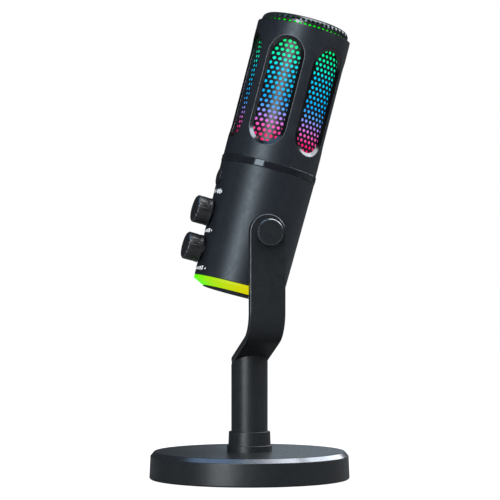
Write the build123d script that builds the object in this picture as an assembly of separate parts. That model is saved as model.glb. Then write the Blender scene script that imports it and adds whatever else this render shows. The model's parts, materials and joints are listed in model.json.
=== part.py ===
from build123d import *
from math import cos, radians, sin, tan
import os

# Desktop condenser microphone on a round weighted base, millimetres.
# Origin: centre of the underside of the foot pad. +Z is up, the knobs face -Y, the side arm is on +X.
# The microphone's own pieces are drawn about its own axis: z runs along the body from the tilt pivot,
# -y is the front and +x is the arm side. MICROPHONE then leans them back on the stand.

# ---------------------------------------------------------------- driving dimensions
# Stand
BASE_RADIUS = 50.05          # at the bottom of the base
BASE_TOP_RADIUS = 47.7       # flat top, inside the bevel
BASE_HEIGHT = 14.0
STEM_RADIUS = 9.13
STEM_BORE = 7.1
ARM_WIDTH = 18.0
ARM_THICKNESS = 3.5
ARM_OUTER_X = 34.8           # outer face of the upright part of the arm
ARM_BEND_RADIUS = 17.0       # outer radius of the bend
ARM_BEND_Z = 84.3            # height at which the upright part ends
ARM_TURN = 66.5              # degrees turned by the bend
PIVOT_Z = 123.2

# Microphone
LEAN = 14.94                 # degrees that the body leans back in the rest pose
MIC_X = 5.6                  # the body's axis stands this far towards the arm
UPPER_RADIUS = 23.7
UPPER_BORE = 22.3
SHELL_TOP = 104.0
GRILLE_TOP = 108.5
GRILLE_RADIUS = 22.1
GRILLE_CORNER = 3.2
GRILLE_WALL = 1.0
BAND_RADIUS = 24.1
BAND_TOP = 34.1
BAND_BOTTOM = 30.8
LOWER_TOP_RADIUS = 23.9
LOWER_BOTTOM_RADIUS = 22.7
LOWER_BOTTOM = -27.3
LOWER_WALL = 2.0
LIGHT_RING_SHOULDER = -28.9
LIGHT_RING_BOTTOM = -31.4
CAP_RADIUS = 17.3
CAP_BOTTOM = -31.8
CAP_THICKNESS = 1.5

# Windows in the upper shell
WINDOW_COUNT = 6
WINDOW_WIDTH = 15.4
WINDOW_HEIGHT = 51.7
WINDOW_SLOPE = 1.85          # width of the sloped edge round each window
WINDOW_CENTRE = 69.4

# Controls on the front line
KNOB_RADIUS = 6.87
KNOB_FACE = 31.8             # distance of the knob's face from the body's axis
KNOB_BACK = 23.9
KNOB_GROOVES = 18
KNOB_GROOVE_RADIUS = 0.25
KNOB_GROOVE_DEPTH = 0.2
UPPER_KNOB_Z = 4.0
LOWER_KNOB_Z = -14.7
BUTTON_Z = 22.5
BUTTON_RADIUS = 3.6
BUTTON_FACE = 24.4
SHAFT_RADIUS = 3.0
RUNNING_FIT = 0.05

# Tilt pivot, measured from the body's axis along +x
ARM_INNER = ARM_OUTER_X - ARM_THICKNESS - MIC_X
ARM_OUTER = ARM_OUTER_X - MIC_X
SIDE_GAP = 0.15              # left between the arm and what turns beside it
PIVOT_CAP_RADIUS = 6.55
PIVOT_CAP_FACE = 34.4
PIVOT_SCREW_RADIUS = 2.5
PIVOT_BUSH_RADIUS = 4.2

# Boards
BOARD_THICKNESS = 1.6
MAIN_BOARD_FRONT = 11.6      # distance of the main board's front face from the body's axis
MAIN_BOARD_SIDE = 14.0
MAIN_BOARD_BOTTOM = -20.0
MAIN_BOARD_TOP = 29.0
SOCKET_BOARD_BOTTOM = -23.2
STANDOFFS = [(-11.5, -13.0), (11.5, -13.0), (-11.5, 26.0), (11.5, 26.0)]
CAP_POST_X = 11.5
CAP_POST_BOTTOM = -27.0
JACK_Y = -5.5
JACK_DEPTH = 14.0
USB_Y = 6.5

MICROPHONE = Pos(MIC_X, 0, PIVOT_Z) * Rot(X=-LEAN)


# ---------------------------------------------------------------- helpers
def turned(*outline):
    """A solid of revolution about Z from (radius, height) points."""
    points = [(radius, 0, height) for radius, height in outline]
    return revolve(make_face(Polyline(*points, close=True)), Axis.Z, 360)


def disc(radius, bottom, top, x=0, y=0):
    return Pos(x, y, (bottom + top) / 2) * Cylinder(radius, top - bottom)


def ring(outer, inner, bottom, top):
    return disc(outer, bottom, top) - disc(inner, bottom, top)


def rod_along_x(radius, start, end, y=0, z=0):
    return Pos((start + end) / 2, y, z) * Rot(Y=90) * Cylinder(radius, end - start)


def rod_to_front(radius, near, far, x=0, z=0):
    """A rod along -y, between two distances from the body's axis."""
    return Pos(x, -(near + far) / 2, z) * Rot(X=90) * Cylinder(radius, far - near)


def block(x0, x1, y0, y1, z0, z1):
    return Pos((x0 + x1) / 2, (y0 + y1) / 2, (z0 + z1) / 2) * Box(x1 - x0, y1 - y0, z1 - z0)


def around(count, shape, start=0):
    """The shape repeated about Z, as a list."""
    return [Rot(Z=start + 360 * i / count) * shape for i in range(count)]


def group(shapes):
    """Several separate solids in one node."""
    return Compound(children=[solid for shape in shapes for solid in shape.solids()])


def lower_shell_radius(z):
    """Outer radius of the tapered lower shell."""
    share = (z - LOWER_BOTTOM) / (BAND_BOTTOM - LOWER_BOTTOM)
    return LOWER_BOTTOM_RADIUS + share * (LOWER_TOP_RADIUS - LOWER_BOTTOM_RADIUS)


# ---------------------------------------------------------------- base
FOOT_TOP = 1.5
SHELL_FOOT = 0.4             # the cast shell stays this far off the desk
WEIGHT_TOP = 8.0
SHELL_CEILING = 11.0
WEIGHT_SCREW_RING = 34.0


def foot_pad():
    return disc(45.5, 0, FOOT_TOP)


def base_shell():
    shell = turned(
        (0, SHELL_CEILING), (46.4, SHELL_CEILING), (47.0, SHELL_FOOT), (BASE_RADIUS - 0.5, SHELL_FOOT),
        (BASE_RADIUS, SHELL_FOOT + 0.5), (49.55, 11.8), (BASE_TOP_RADIUS, BASE_HEIGHT), (0, BASE_HEIGHT),
    )
    shell += disc(12, WEIGHT_TOP, SHELL_CEILING)
    for boss in around(3, disc(4, WEIGHT_TOP, SHELL_CEILING, x=WEIGHT_SCREW_RING)):
        shell += boss
    for hole in around(3, disc(1.5, WEIGHT_TOP, SHELL_CEILING + 1, x=WEIGHT_SCREW_RING)):
        shell -= hole
    return shell - disc(3.2, WEIGHT_TOP, BASE_HEIGHT)


def base_weight():
    plate = ring(45.0, 7.5, FOOT_TOP, WEIGHT_TOP)
    screw_way = disc(1.7, FOOT_TOP, WEIGHT_TOP, x=WEIGHT_SCREW_RING)
    screw_way += disc(3.7, FOOT_TOP, 4.2, x=WEIGHT_SCREW_RING)
    for way in around(3, screw_way):
        plate -= way
    return plate


def weight_screws():
    screw = disc(1.5, 4.2, 11.6, x=WEIGHT_SCREW_RING)
    screw += disc(3.3, 2.0, 4.2, x=WEIGHT_SCREW_RING)
    return group(around(3, screw))


def base_collar():
    return turned(
        (STEM_RADIUS, BASE_HEIGHT), (11.25, BASE_HEIGHT), (11.25, 16.7), (10.85, 17.1),
        (10.6, 17.1), (10.4, 24.0), (STEM_RADIUS, 24.0),
    )


def stem_bolt():
    head = Pos(0, 0, 3.0) * extrude(RegularPolygon(5.8, 6), 4.0)
    return head + disc(3.0, 7.0, 24.0)


def stem_washer():
    return ring(7.0, 3.2, 7.0, WEIGHT_TOP)


# ---------------------------------------------------------------- stem and side arm
SLOPE = 90 - ARM_TURN        # degrees that the arm's lower plate rises towards +X
BEND_CENTRE_X = ARM_OUTER_X - ARM_BEND_RADIUS
BEND_END_X = BEND_CENTRE_X + ARM_BEND_RADIUS * cos(radians(ARM_TURN))
BEND_END_Z = ARM_BEND_Z - ARM_BEND_RADIUS * sin(radians(ARM_TURN))
SEAT_Z = BEND_END_Z - BEND_END_X * tan(radians(SLOPE))   # the plate's underside on the stem's axis
SEAT = Pos(0, 0, SEAT_Z) * Rot(Y=-SLOPE)                 # local z is square to the plate


def below_seat(solid):
    """What lies under the arm's lower plate."""
    return solid - SEAT * Pos(0, 0, 30) * Box(120, 60, 60)


def stem():
    return below_seat(ring(STEM_RADIUS, STEM_BORE, BASE_HEIGHT, SEAT_Z + 10))


def stem_bottom_insert():
    return ring(STEM_BORE, 3.0, BASE_HEIGHT, 26.0)


def stem_top_insert():
    return below_seat(disc(STEM_BORE, 44.0, SEAT_Z + 10)) - SEAT * disc(2.0, -12.5, 1)


def arm_screw():
    head = SEAT * turned((0, 1.2), (2.0, 1.2), (3.9, 3.2), (3.9, ARM_THICKNESS), (0, ARM_THICKNESS))
    return head + SEAT * disc(2.0, -12.0, 1.2)


def side_arm():
    """One flat bar: an upright with a round head, a bend, and a plate that slopes down over the stem."""
    side = ARM_WIDTH / 2
    inner_x = ARM_OUTER_X - ARM_THICKNESS
    arm = block(inner_x, ARM_OUTER_X, -side, side, ARM_BEND_Z, PIVOT_Z)
    arm += rod_along_x(side, inner_x, ARM_OUTER_X, z=PIVOT_Z)
    section = Pos((inner_x + ARM_OUTER_X) / 2, 0, ARM_BEND_Z) * Rectangle(ARM_THICKNESS, ARM_WIDTH)
    arm += revolve(section, Axis((BEND_CENTRE_X, 0, ARM_BEND_Z), (0, 1, 0)), ARM_TURN)
    plate = SEAT * block(-20, BEND_END_X / cos(radians(SLOPE)), -side, side, 0, ARM_THICKNESS)
    arm += plate & (disc(STEM_RADIUS, 40, 80) + block(0, 60, -side, side, 40, 100))
    arm -= SEAT * turned((0, 0), (2.0, 0), (2.0, 1.2), (3.9, 3.2), (3.9, 5), (0, 5))
    return arm - rod_along_x(PIVOT_BUSH_RADIUS, inner_x, ARM_OUTER_X, z=PIVOT_Z)


def pivot_bush():
    inner_x = ARM_OUTER_X - ARM_THICKNESS
    outside = rod_along_x(PIVOT_BUSH_RADIUS, inner_x, ARM_OUTER_X, z=PIVOT_Z)
    return outside - rod_along_x(PIVOT_SCREW_RADIUS + RUNNING_FIT, inner_x, ARM_OUTER_X, z=PIVOT_Z)


# ---------------------------------------------------------------- microphone: shells and light
MESH_RADIUS = 21.8
MESH_WALL = 0.25
MESH_BOTTOM = 37.6
MESH_TOP = 99.5
CHASSIS_DECK_BOTTOM = 35.0
CHASSIS_DECK_TOP = 38.4
CHASSIS_RADIUS = 20.7
DIFFUSER_RADIUS = 20.6
DIFFUSER_BORE = 19.2
STRIP_RADIUS = 14.6          # inner face of the light strips
CAPSULE_Z = 70.0
CAPSULE_RADIUS = 8.0
CRADLE_RADIUS = 10.5
BRACKET_RADIUS = 11.6


def window_cutter():
    """One stadium window with a sloped edge, on the front line."""
    outer_face = Plane(origin=(0, -UPPER_RADIUS, WINDOW_CENTRE), x_dir=(0, 0, 1), z_dir=(0, 1, 0))
    grown = 2 * WINDOW_SLOPE
    sloped = loft([
        outer_face * SlotOverall(WINDOW_HEIGHT + grown, WINDOW_WIDTH + grown),
        outer_face.offset(UPPER_RADIUS - UPPER_BORE) * SlotOverall(WINDOW_HEIGHT, WINDOW_WIDTH),
    ])
    opening = outer_face * SlotOverall(WINDOW_HEIGHT, WINDOW_WIDTH)
    return sloped + extrude(opening, UPPER_RADIUS - MESH_RADIUS + 3)


def upper_shell():
    shell = turned(
        (UPPER_BORE, BAND_TOP), (UPPER_RADIUS, BAND_TOP), (UPPER_RADIUS, SHELL_TOP - 0.6),
        (UPPER_RADIUS - 0.5, SHELL_TOP), (UPPER_BORE, SHELL_TOP),
    )
    for window in around(WINDOW_COUNT, window_cutter()):
        shell -= window
    return shell


def mesh_tube():
    return ring(MESH_RADIUS, MESH_RADIUS - MESH_WALL, MESH_BOTTOM, MESH_TOP)


def top_grille():
    """A thin cap with a rounded edge, held in the rim of the upper shell."""
    cap = disc(GRILLE_RADIUS, MESH_TOP + 0.2, GRILLE_TOP)
    cap = fillet(cap.edges().group_by(Axis.Z)[-1], GRILLE_CORNER)
    hollow = disc(GRILLE_RADIUS - GRILLE_WALL, MESH_TOP + 0.2, GRILLE_TOP - GRILLE_WALL)
    return cap - fillet(hollow.edges().group_by(Axis.Z)[-1], GRILLE_CORNER - GRILLE_WALL)


def wind_foam():
    return disc(18.4, 101.5, GRILLE_TOP - GRILLE_WALL)


def diffuser_tube():
    """Milky light tube behind the windows, up to the lowest row of the top grille."""
    return ring(DIFFUSER_RADIUS, DIFFUSER_BORE, CHASSIS_DECK_TOP, 105.6)


def light_strips():
    """Upright circuit strips, one behind each window."""
    strip = block(-2.5, 2.5, -STRIP_RADIUS - 1, -STRIP_RADIUS, CHASSIS_DECK_TOP, 97.0)
    return group(around(WINDOW_COUNT, strip))


def light_chips():
    """Colour light chips, five on each strip."""
    near = STRIP_RADIUS + 1
    column = [block(-1.5, 1.5, -near - 1, -near, z - 1.5, z + 1.5) for z in range(45, 96, 12)]
    return group([chip for each in column for chip in around(WINDOW_COUNT, each)])


def capsule():
    return rod_to_front(CAPSULE_RADIUS, -3, 3, z=CAPSULE_Z)


def capsule_cradle():
    outside = rod_to_front(CRADLE_RADIUS, -3.5, 3.5, z=CAPSULE_Z)
    return outside - rod_to_front(CAPSULE_RADIUS, -4, 4, z=CAPSULE_Z)


def capsule_bracket():
    post = block(-4, 4, -2.5, 2.5, CHASSIS_DECK_TOP, CAPSULE_Z - CRADLE_RADIUS)
    loop = rod_to_front(BRACKET_RADIUS, -2.5, 2.5, z=CAPSULE_Z)
    return post + loop - rod_to_front(CRADLE_RADIUS, -4, 4, z=CAPSULE_Z)


def middle_band():
    """The bright ring between the shells, with a spigot into each of them."""
    lower_spigot = lower_shell_radius(27.5) - LOWER_WALL - 0.1
    return turned(
        (20.9, 27.5), (lower_spigot, 27.5), (lower_spigot, BAND_BOTTOM), (BAND_RADIUS - 0.2, BAND_BOTTOM),
        (BAND_RADIUS, BAND_BOTTOM + 0.3), (BAND_RADIUS, BAND_TOP - 0.3), (BAND_RADIUS - 0.3, BAND_TOP),
        (UPPER_BORE - 0.1, BAND_TOP), (UPPER_BORE - 0.1, 37.4), (20.9, 37.4),
    )


def lower_shell():
    shell = turned(
        (LOWER_BOTTOM_RADIUS - LOWER_WALL, LOWER_BOTTOM), (LOWER_BOTTOM_RADIUS, LOWER_BOTTOM),
        (LOWER_TOP_RADIUS, BAND_BOTTOM), (LOWER_TOP_RADIUS - LOWER_WALL, BAND_BOTTOM),
    )
    for height in (UPPER_KNOB_Z, LOWER_KNOB_Z):
        shell -= rod_to_front(3.9, 15, 30, z=height)
    shell -= rod_to_front(4.45, 15, 30, z=BUTTON_Z)
    return shell - rod_along_x(PIVOT_SCREW_RADIUS + 0.2, 15, 30)


def bottom_light_ring():
    return turned(
        (20.5, LOWER_BOTTOM), (LOWER_BOTTOM_RADIUS, LOWER_BOTTOM),
        (LOWER_BOTTOM_RADIUS, LIGHT_RING_SHOULDER), (CAP_RADIUS + 0.1, LIGHT_RING_BOTTOM),
        (16.2, LIGHT_RING_BOTTOM), (16.2, -29.9), (16.9, -29.9), (20.5, -28.1),
    )


def bottom_light_board():
    return ring(20.2, 16.6, -26.9, -25.7)


def bottom_light_chips():
    chip = block(-1.5, 1.5, -19.4, -17.4, -27.7, -26.9)
    return group(around(10, chip, start=18))


CAP_INSIDE = CAP_BOTTOM + CAP_THICKNESS
CAP_SCREW_SEAT = CAP_INSIDE + 0.3


def bottom_cap():
    """A thin closing plate with a rim inside the light ring and a way for each socket and screw."""
    rim_top = CAP_INSIDE + 2.0
    cap = turned(
        (0, CAP_BOTTOM), (CAP_RADIUS - 0.2, CAP_BOTTOM), (CAP_RADIUS, CAP_BOTTOM + 0.2),
        (CAP_RADIUS, LIGHT_RING_BOTTOM), (16.1, LIGHT_RING_BOTTOM), (16.1, rim_top), (14.9, rim_top),
        (14.9, CAP_INSIDE), (0, CAP_INSIDE),
    )
    for x in (-CAP_POST_X, CAP_POST_X):
        cap += disc(3.2, CAP_INSIDE, CAP_POST_BOTTOM, x=x)
        cap -= disc(1.3, CAP_BOTTOM, CAP_POST_BOTTOM, x=x)
        cap -= disc(2.4, CAP_BOTTOM, CAP_SCREW_SEAT, x=x)
    cap -= disc(3.2, CAP_BOTTOM, CAP_INSIDE, y=JACK_Y)
    usb_way = Pos(0, USB_Y, CAP_BOTTOM) * RectangleRounded(9.3, 3.6, 1.7)
    return cap - extrude(usb_way, CAP_THICKNESS)


def cap_screws():
    screw = disc(1.2, CAP_SCREW_SEAT, -20.8) + disc(2.2, CAP_SCREW_SEAT - 1.4, CAP_SCREW_SEAT)
    return group([Pos(x, 0, 0) * screw for x in (-CAP_POST_X, CAP_POST_X)])


# ---------------------------------------------------------------- microphone: frame and boards
def chassis():
    """A deck under the light tube, an upright plate behind the boards and two posts for the cap."""
    frame = disc(CHASSIS_RADIUS, CHASSIS_DECK_BOTTOM, CHASSIS_DECK_TOP)
    frame += block(-14, 14, 2, 4, MAIN_BOARD_BOTTOM, CHASSIS_DECK_BOTTOM)
    frame -= disc(4, CHASSIS_DECK_BOTTOM, CHASSIS_DECK_TOP, y=11)
    for x in (-CAP_POST_X, CAP_POST_X):
        frame += disc(2.8, CAP_POST_BOTTOM, -17.0, x=x)
        frame += block(x - 2, x + 2, 0, 3, -20, -17)
        frame -= disc(1.2, CAP_POST_BOTTOM, -20.5, x=x)
    return frame


def main_board():
    board = block(-MAIN_BOARD_SIDE, MAIN_BOARD_SIDE, -MAIN_BOARD_FRONT, BOARD_THICKNESS - MAIN_BOARD_FRONT,
                  MAIN_BOARD_BOTTOM, MAIN_BOARD_TOP)
    for x, z in STANDOFFS:
        board -= rod_to_front(1.1, 9, 13, x=x, z=z)
    return board


def board_standoffs():
    back = MAIN_BOARD_FRONT - BOARD_THICKNESS
    posts = []
    for x, z in STANDOFFS:
        posts.append(rod_to_front(2.2, -2, back, x=x, z=z) - rod_to_front(1.1, 2, back, x=x, z=z))
    return group(posts)


def board_screws():
    screws = []
    for x, z in STANDOFFS:
        head = rod_to_front(2.1, MAIN_BOARD_FRONT, MAIN_BOARD_FRONT + 1.3, x=x, z=z)
        screws.append(head + rod_to_front(1.1, 4, MAIN_BOARD_FRONT, x=x, z=z))
    return group(screws)


def board_chips():
    face = MAIN_BOARD_FRONT
    chips = [
        block(6.8, 13.2, -face - 1.0, -face, 2, 9),
        block(-12.5, -7.0, -face - 0.9, -face, 4, 12),
        block(7.5, 12.0, -face - 0.8, -face, -9, -5),
        block(-4.5, 4.5, BOARD_THICKNESS - face, BOARD_THICKNESS - face + 1.2, 8, 17),
    ]
    return group(chips)


def encoder(z):
    """Turning control soldered to the main board, with a bush that guides the shaft."""
    body = block(-5.5, 5.5, -18.1, -MAIN_BOARD_FRONT, z - 6, z + 6)
    body += rod_to_front(3.6, 18.1, 22.4, z=z)
    return body - rod_to_front(SHAFT_RADIUS + RUNNING_FIT, 14.0, 22.4, z=z)


def encoder_shaft(z):
    return rod_to_front(SHAFT_RADIUS, 14.3, 29.8, z=z)


def knob(z):
    """A knob with a smooth flared skirt and narrow straight grooves that run to the chamfered face."""
    waist = KNOB_BACK + 2.6
    body = turned(
        (0, KNOB_BACK), (KNOB_RADIUS + 0.1, KNOB_BACK), (KNOB_RADIUS - 0.25, waist),
        (KNOB_RADIUS, waist + 0.2), (KNOB_RADIUS, KNOB_FACE - 0.6), (KNOB_RADIUS - 0.6, KNOB_FACE),
        (0, KNOB_FACE),
    )
    groove_centre = KNOB_RADIUS + KNOB_GROOVE_RADIUS - KNOB_GROOVE_DEPTH
    groove = disc(KNOB_GROOVE_RADIUS, waist, KNOB_FACE, x=groove_centre)
    for each in around(KNOB_GROOVES, groove):
        body -= each
    body -= disc(SHAFT_RADIUS, KNOB_BACK, 29.8)
    return Pos(0, 0, z) * Rot(X=90) * body


def button_switch():
    base = block(-3, 3, -15.1, -MAIN_BOARD_FRONT, BUTTON_Z - 3, BUTTON_Z + 3)
    return base + rod_to_front(1.75, 15.1, 17.9, z=BUTTON_Z)


def mode_button():
    """A round key with a retaining flange behind the bezel and a stem over the switch."""
    key = rod_to_front(BUTTON_RADIUS, 19.6, BUTTON_FACE, z=BUTTON_Z)
    key = fillet(key.edges().group_by(Axis.Y)[0], 0.4)
    return key + rod_to_front(4.2, 18.9, 20.1, z=BUTTON_Z) + rod_to_front(1.6, 18.6, 19.2, z=BUTTON_Z)


def button_bezel():
    return rod_to_front(4.4, 20.9, 24.1, z=BUTTON_Z) - rod_to_front(BUTTON_RADIUS + 0.2, 20, 25, z=BUTTON_Z)


def socket_board():
    board = disc(15.5, SOCKET_BOARD_BOTTOM, SOCKET_BOARD_BOTTOM + BOARD_THICKNESS)
    for x in (-CAP_POST_X, CAP_POST_X):
        board -= disc(3.0, SOCKET_BOARD_BOTTOM, SOCKET_BOARD_BOTTOM + BOARD_THICKNESS, x=x)
    return board - block(-3.7, 3.7, JACK_Y - 3.7, JACK_Y + 3.7, SOCKET_BOARD_BOTTOM, -20)


def headphone_jack():
    """Upright 3.5 mm socket, open at the bottom cap."""
    top = CAP_BOTTOM + JACK_DEPTH + 0.7
    body = block(-3.5, 3.5, JACK_Y - 3.5, JACK_Y + 3.5, CAP_INSIDE, top)
    body += disc(3.1, CAP_BOTTOM, CAP_INSIDE, y=JACK_Y)
    return body - disc(1.8, CAP_BOTTOM, CAP_BOTTOM + JACK_DEPTH, y=JACK_Y)


def usb_socket():
    """Upright USB-C socket with its centre tongue."""
    shell = extrude(Pos(0, USB_Y, SOCKET_BOARD_BOTTOM) * RectangleRounded(8.94, 3.26, 1.6), -8.4)
    slot = extrude(Pos(0, USB_Y, SOCKET_BOARD_BOTTOM - 8.4) * RectangleRounded(8.34, 2.56, 1.25), 6.5)
    tongue = block(-3.35, 3.35, USB_Y - 0.35, USB_Y + 0.35,
                   SOCKET_BOARD_BOTTOM - 7.7, SOCKET_BOARD_BOTTOM - 1)
    return shell - slot + tongue


def ribbon_cable():
    """Flat cable from the back of the main board down to the socket board."""
    back = BOARD_THICKNESS - MAIN_BOARD_FRONT
    low = SOCKET_BOARD_BOTTOM + BOARD_THICKNESS
    near = 4.2
    outline = Polyline((near, back, -12), (near, back + 0.6, -12), (near, back + 0.6, low + 0.6),
                       (near, back + 6, low + 0.6), (near, back + 6, low), (near, back, low), close=True)
    return extrude(make_face(outline), 4, dir=(1, 0, 0))


# ---------------------------------------------------------------- microphone: tilt pivot
def pivot_nut_plate():
    return block(15.0, 20.0, -6, 6, -8, 8) - rod_along_x(PIVOT_SCREW_RADIUS, 15.0, 20.0)


def pivot_spacer():
    """Fills the gap between the tapered shell and the arm, so its back follows the shell."""
    washer = rod_along_x(6.0, 20, ARM_INNER - SIDE_GAP) - rod_along_x(PIVOT_SCREW_RADIUS + 0.1, 20, 30)
    return washer - turned((0, LOWER_BOTTOM), (LOWER_BOTTOM_RADIUS + RUNNING_FIT, LOWER_BOTTOM),
                           (LOWER_TOP_RADIUS + RUNNING_FIT, BAND_BOTTOM), (0, BAND_BOTTOM))


def pivot_screw():
    head_start = ARM_OUTER + SIDE_GAP
    shank = rod_along_x(PIVOT_SCREW_RADIUS, 15.0, head_start)
    return shank + rod_along_x(4.6, head_start, head_start + 2.4)


def pivot_cap():
    start = ARM_OUTER + SIDE_GAP
    cap = rod_along_x(PIVOT_CAP_RADIUS, start, PIVOT_CAP_FACE)
    cap = chamfer(cap.edges().group_by(Axis.X)[-1], 0.55)
    return cap - rod_along_x(4.6, start, start + 2.4)


# ---------------------------------------------------------------- assembly
def stand_nodes():
    return {
        "foot_pad": foot_pad(),
        "base_shell": base_shell(),
        "base_weight": base_weight(),
        "weight_screws": weight_screws(),
        "base_collar": base_collar(),
        "stem": stem(),
        "stem_bottom_insert": stem_bottom_insert(),
        "stem_bolt": stem_bolt(),
        "stem_washer": stem_washer(),
        "stem_top_insert": stem_top_insert(),
        "arm_screw": arm_screw(),
        "side_arm": side_arm(),
        "pivot_bush": pivot_bush(),
    }


def microphone_nodes():
    return {
        "upper_shell": upper_shell(),
        "mesh_tube": mesh_tube(),
        "top_grille": top_grille(),
        "wind_foam": wind_foam(),
        "diffuser_tube": diffuser_tube(),
        "light_strips": light_strips(),
        "light_chips": light_chips(),
        "capsule": capsule(),
        "capsule_cradle": capsule_cradle(),
        "capsule_bracket": capsule_bracket(),
        "middle_band": middle_band(),
        "lower_shell": lower_shell(),
        "bottom_light_ring": bottom_light_ring(),
        "bottom_light_board": bottom_light_board(),
        "bottom_light_chips": bottom_light_chips(),
        "bottom_cap": bottom_cap(),
        "cap_screws": cap_screws(),
        "chassis": chassis(),
        "main_board": main_board(),
        "board_standoffs": board_standoffs(),
        "board_screws": board_screws(),
        "board_chips": board_chips(),
        "upper_encoder": encoder(UPPER_KNOB_Z),
        "lower_encoder": encoder(LOWER_KNOB_Z),
        "upper_shaft": encoder_shaft(UPPER_KNOB_Z),
        "lower_shaft": encoder_shaft(LOWER_KNOB_Z),
        "upper_knob": knob(UPPER_KNOB_Z),
        "lower_knob": knob(LOWER_KNOB_Z),
        "button_switch": button_switch(),
        "mode_button": mode_button(),
        "button_bezel": button_bezel(),
        "socket_board": socket_board(),
        "headphone_jack": headphone_jack(),
        "usb_socket": usb_socket(),
        "ribbon_cable": ribbon_cable(),
        "pivot_nut_plate": pivot_nut_plate(),
        "pivot_spacer": pivot_spacer(),
        "pivot_screw": pivot_screw(),
        "pivot_cap": pivot_cap(),
    }


os.makedirs("parts", exist_ok=True)
for name, shape in stand_nodes().items():
    export_step(shape, f"parts/{name}.step")
for name, shape in microphone_nodes().items():
    export_step(MICROPHONE * shape, f"parts/{name}.step")
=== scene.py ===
import json
from math import asin, atan2, ceil, cos, hypot, pi, radians, sin, sqrt, tan

import bmesh
import bpy
from mathutils import Matrix, Quaternion, Vector


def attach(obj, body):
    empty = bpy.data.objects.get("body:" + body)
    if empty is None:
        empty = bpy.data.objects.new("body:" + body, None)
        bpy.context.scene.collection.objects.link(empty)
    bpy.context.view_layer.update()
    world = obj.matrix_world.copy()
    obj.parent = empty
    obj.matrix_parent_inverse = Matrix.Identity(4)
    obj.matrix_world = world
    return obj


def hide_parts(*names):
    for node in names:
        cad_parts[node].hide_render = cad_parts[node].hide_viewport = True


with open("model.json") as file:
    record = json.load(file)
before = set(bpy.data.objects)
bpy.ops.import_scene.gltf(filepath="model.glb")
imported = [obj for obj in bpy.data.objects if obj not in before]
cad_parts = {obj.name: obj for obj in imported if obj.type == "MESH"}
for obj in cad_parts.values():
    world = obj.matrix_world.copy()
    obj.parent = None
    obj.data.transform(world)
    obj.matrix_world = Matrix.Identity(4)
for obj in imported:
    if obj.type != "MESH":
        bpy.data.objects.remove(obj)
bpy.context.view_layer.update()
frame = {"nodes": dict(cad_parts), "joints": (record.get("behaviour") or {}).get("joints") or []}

# ---- driving dimensions, millimetres
MM = 0.001

# Stand
BASE_RADIUS = 50.05
BASE_TOP_RADIUS = 47.7
BASE_HEIGHT = 14.0
BASE_SHOULDER = 11.8
BASE_BORE = 3.2              # for the bolt up into the stem
SHELL_FOOT = 0.4
SHELL_INSIDE_TOP = 11.0
FOOT_PAD_RADIUS = 45.5
FOOT_PAD_THICKNESS = 1.5
FOOT_GROOVES = (42.0, 38.0, 34.0, 30.0)
STEM_RADIUS = 9.13
STEM_BORE = 7.1
COLLAR_RADIUS = 11.25
COLLAR_STEP_Z = 17.1
COLLAR_TOP = 24.0
ARM_WIDTH = 18.0
ARM_THICKNESS = 3.5
ARM_OUTER_X = 34.8
ARM_BEND_RADIUS = 17.0
ARM_BEND_Z = 84.3
ARM_TURN = radians(66.5)
ARM_BEVEL = 0.55
ARM_PIVOT_HOLE = 4.2         # radius, like the other holes here
SCREW_RADIUS = 2.0
SCREW_HEAD_RADIUS = 3.85
SCREW_SINK = 1.2             # where the countersink starts, up from the seat
SCREW_HEAD_Z = 3.2

# Microphone, about its own axis: z along the body from the tilt pivot, -y the front, +x the arm side
UPPER_RADIUS = 23.7
UPPER_BORE = 22.3
SHELL_TOP = 104.0
BAND_RADIUS = 24.1
BAND_TOP = 34.1
BAND_BOTTOM = 30.8
LOWER_TOP_RADIUS = 23.9
LOWER_BOTTOM_RADIUS = 22.7
LOWER_BOTTOM = -27.3
LOWER_WALL = 2.0
LIGHT_RING_SHOULDER = -28.9
LIGHT_RING_BOTTOM = -31.4
CAP_RADIUS = 17.3
CAP_BOTTOM = -31.8
CAP_THICKNESS = 1.5
CAP_RIM_RADIUS = 16.1
CAP_RIM_WALL = 1.2
CAP_SCREW_X = 11.5
CAP_SCREW_HOLE = 2.4
HEADPHONE_HOLE_Y = -5.5
HEADPHONE_HOLE = 3.2
USB_HOLE_Y = 6.5
USB_HOLE_HALF_STRAIGHT = 2.85
USB_HOLE_END = 1.8

# Windows and perforations
WINDOW_COUNT = 6
WINDOW_CENTRE = 69.4
WINDOW_HALF_WIDTH = 7.98
WINDOW_HALF_HEIGHT = 25.85
WINDOW_BEVEL = 1.8
MESH_RADIUS = 21.8
MESH_WALL = 0.25
MESH_BOTTOM = 37.6
MESH_TOP = 99.5
HOLE_COLUMNS = 52            # round the mesh and round the grille, straight-pulled in four directions
MESH_ROWS = 22
MESH_FIRST_ROW = 44.11
MESH_ROW_PITCH = 2.403
MESH_HOLE = 0.78
GRILLE_RADIUS = 22.1
GRILLE_TOP = 108.5
GRILLE_CORNER = 3.2
GRILLE_WALL = 1.0
GRILLE_SKIRT = 99.7          # the foot of its wall, inside the shell
GRILLE_ROWS = 4
GRILLE_FIRST_ROW = 0.2       # up the grille's wall from the shell's rim
GRILLE_ROW_PITCH = 2.4
GRILLE_HOLE = 0.80
GRILLE_FIELD_RADIUS = 15.6   # flat holes inside this
GRILLE_FIELD_PITCH = 2.67

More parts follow.
